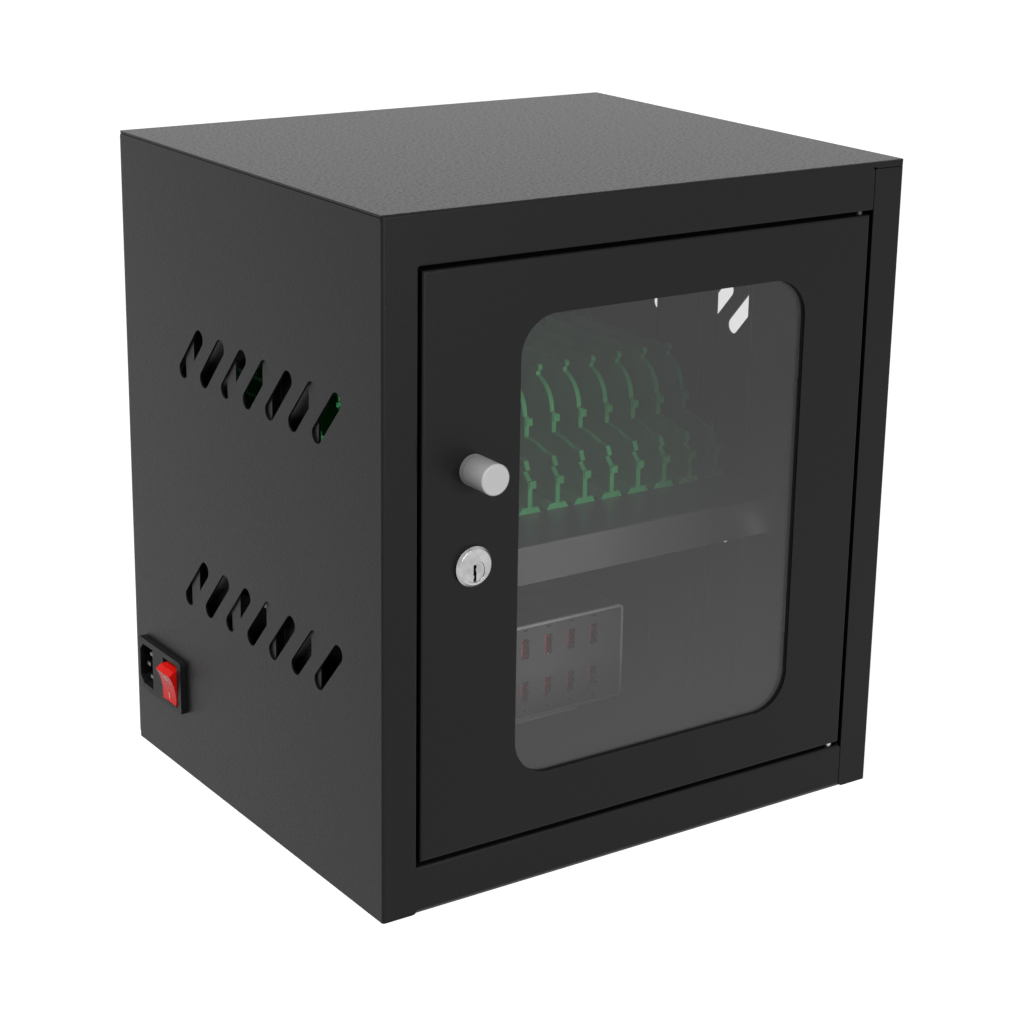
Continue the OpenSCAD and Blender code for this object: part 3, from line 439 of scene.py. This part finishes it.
def add_mark(mesh, pivot, rows, closed):
    """One raised mark over rows of (y, along) pairs, with walls down into the face."""
    top = [[mesh.verts.new(rocker_face(pivot, y, v, MARK_RISE)) for y, v in row] for row in rows]
    root = [[mesh.verts.new(rocker_face(pivot, y, v, MARK_ROOT)) for y, v in row] for row in rows]
    count = len(rows)
    for i in range(count if closed else count - 1):
        j = (i + 1) % count
        mesh.faces.new((top[i][0], top[i][-1], top[j][-1], top[j][0]))
        mesh.faces.new((root[i][0], root[j][0], root[j][-1], root[i][-1]))
        for side in (0, -1):
            mesh.faces.new((top[i][side], top[j][side], root[j][side], root[i][side]))
    if not closed:
        for end in (0, -1):
            mesh.faces.new((top[end][0], top[end][-1], root[end][-1], root[end][0]))


def rocker_marks():
    joints = frame["record"]["behaviour"]["joints"]
    pivot = next(joint["pos_m"] for joint in joints if joint["name"] == "rocker_tip")
    bar = [[(-BAR_HALF, along), (BAR_HALF, along)] for along in BAR_STOPS]
    turns = [2 * math.pi * i / RING_STEPS for i in range(RING_STEPS)]
    ring = [[(r * math.sin(a), RING_AT + r * math.cos(a)) for r in RING_RADII] for a in turns]
    build = bmesh.new()
    add_mark(build, pivot, bar, False)
    add_mark(build, pivot, ring, True)
    bmesh.ops.recalc_face_normals(build, faces=build.faces)
    mesh = bpy.data.meshes.new("rocker_marks")
    build.to_mesh(mesh)
    build.free()
    mesh.materials.append(MATERIALS["rim_plastic"])
    marks = bpy.data.objects.new("rocker_marks", mesh)
    bpy.context.collection.objects.link(marks)
    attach(marks, "rocker_switch")


rocker_marks()

# Stage


def seen_as_white(tree, shader, white, target):
    """Camera, mirror and glass rays see the plain white shader, all other light the real one."""
    path = tree.nodes.new("ShaderNodeLightPath")
    total = path.outputs["Is Camera Ray"]
    for other in ("Is Glossy Ray", "Is Transmission Ray"):
        add = tree.nodes.new("ShaderNodeMath")
        add.operation = "MAXIMUM"
        tree.links.new(total, add.inputs[0])
        tree.links.new(path.outputs[other], add.inputs[1])
        total = add.outputs["Value"]
    mix = tree.nodes.new("ShaderNodeMixShader")
    tree.links.new(total, mix.inputs["Fac"])
    tree.links.new(shader, mix.inputs[1])
    tree.links.new(white, mix.inputs[2])
    tree.links.new(mix.outputs["Shader"], target)


WHITE = (1, 1, 1, 1)
WORLD_STRENGTH = 0.1
FLOOR_HALF = 6.0
FLOOR_COLOUR = (0.25, 0.25, 0.25, 1)
FLOOR_ROUGHNESS = 0.9
FLOOR_GLOW = 0.93

# Name, place, size and power in watts. Each lamp looks at the cabinet's middle.
LAMPS = (
    ("key", (-1.75, 0.1, 2.1), (1.0, 1.0), 52),
    ("front", (0.0, -2.2, 0.6), (1.2, 0.4), 40),
    ("low back", (1.38, 2.04, 0.76), (3.0, 1.6), 2.2),
)
LAMP_AIM = (0, 0, 0.18)


def make_world():
    world = bpy.data.worlds.new("World")
    bpy.context.scene.world = world
    world.use_nodes = True
    tree = world.node_tree
    soft = tree.nodes["Background"]
    soft.inputs["Color"].default_value = WHITE
    soft.inputs["Strength"].default_value = WORLD_STRENGTH
    white = tree.nodes.new("ShaderNodeBackground")
    white.inputs["Color"].default_value = WHITE
    white.inputs["Strength"].default_value = 1.0
    seen_as_white(tree, soft.outputs["Background"], white.outputs["Background"],
                  tree.nodes["World Output"].inputs["Surface"])


def make_floor():
    mesh = bpy.data.meshes.new("floor")
    corners = [(x * FLOOR_HALF, y * FLOOR_HALF, 0) for x, y in ((-1, -1), (1, -1), (1, 1), (-1, 1))]
    mesh.from_pydata(corners, [], [(0, 1, 2, 3)])
    floor = bpy.data.objects.new("floor", mesh)
    bpy.context.collection.objects.link(floor)
    s = Shader("floor", Base_Color=FLOOR_COLOUR, Roughness=FLOOR_ROUGHNESS)
    glow = s.nodes.new("ShaderNodeEmission")
    glow.inputs["Strength"].default_value = FLOOR_GLOW
    lit = s.nodes.new("ShaderNodeAddShader")
    s.links.new(s.bsdf.outputs["BSDF"], lit.inputs[0])
    s.links.new(glow.outputs["Emission"], lit.inputs[1])
    seen_as_white(s.material.node_tree, s.bsdf.outputs["BSDF"], lit.outputs["Shader"],
                  s.output.inputs["Surface"])
    mesh.materials.append(s.material)


def make_lamp(name, at, size, power):
    data = bpy.data.lights.new(name, "AREA")
    data.shape = "RECTANGLE"
    data.size, data.size_y = size
    data.energy = power
    lamp = bpy.data.objects.new(name, data)
    bpy.context.collection.objects.link(lamp)
    lamp.location = at
    aim = Vector(LAMP_AIM) - Vector(at)
    lamp.rotation_euler = aim.to_track_quat("-Z", "Y").to_euler()


make_world()
make_floor()
for lamp_facts in LAMPS:
    make_lamp(*lamp_facts)

bpy.context.scene.view_settings.view_transform = "Standard"
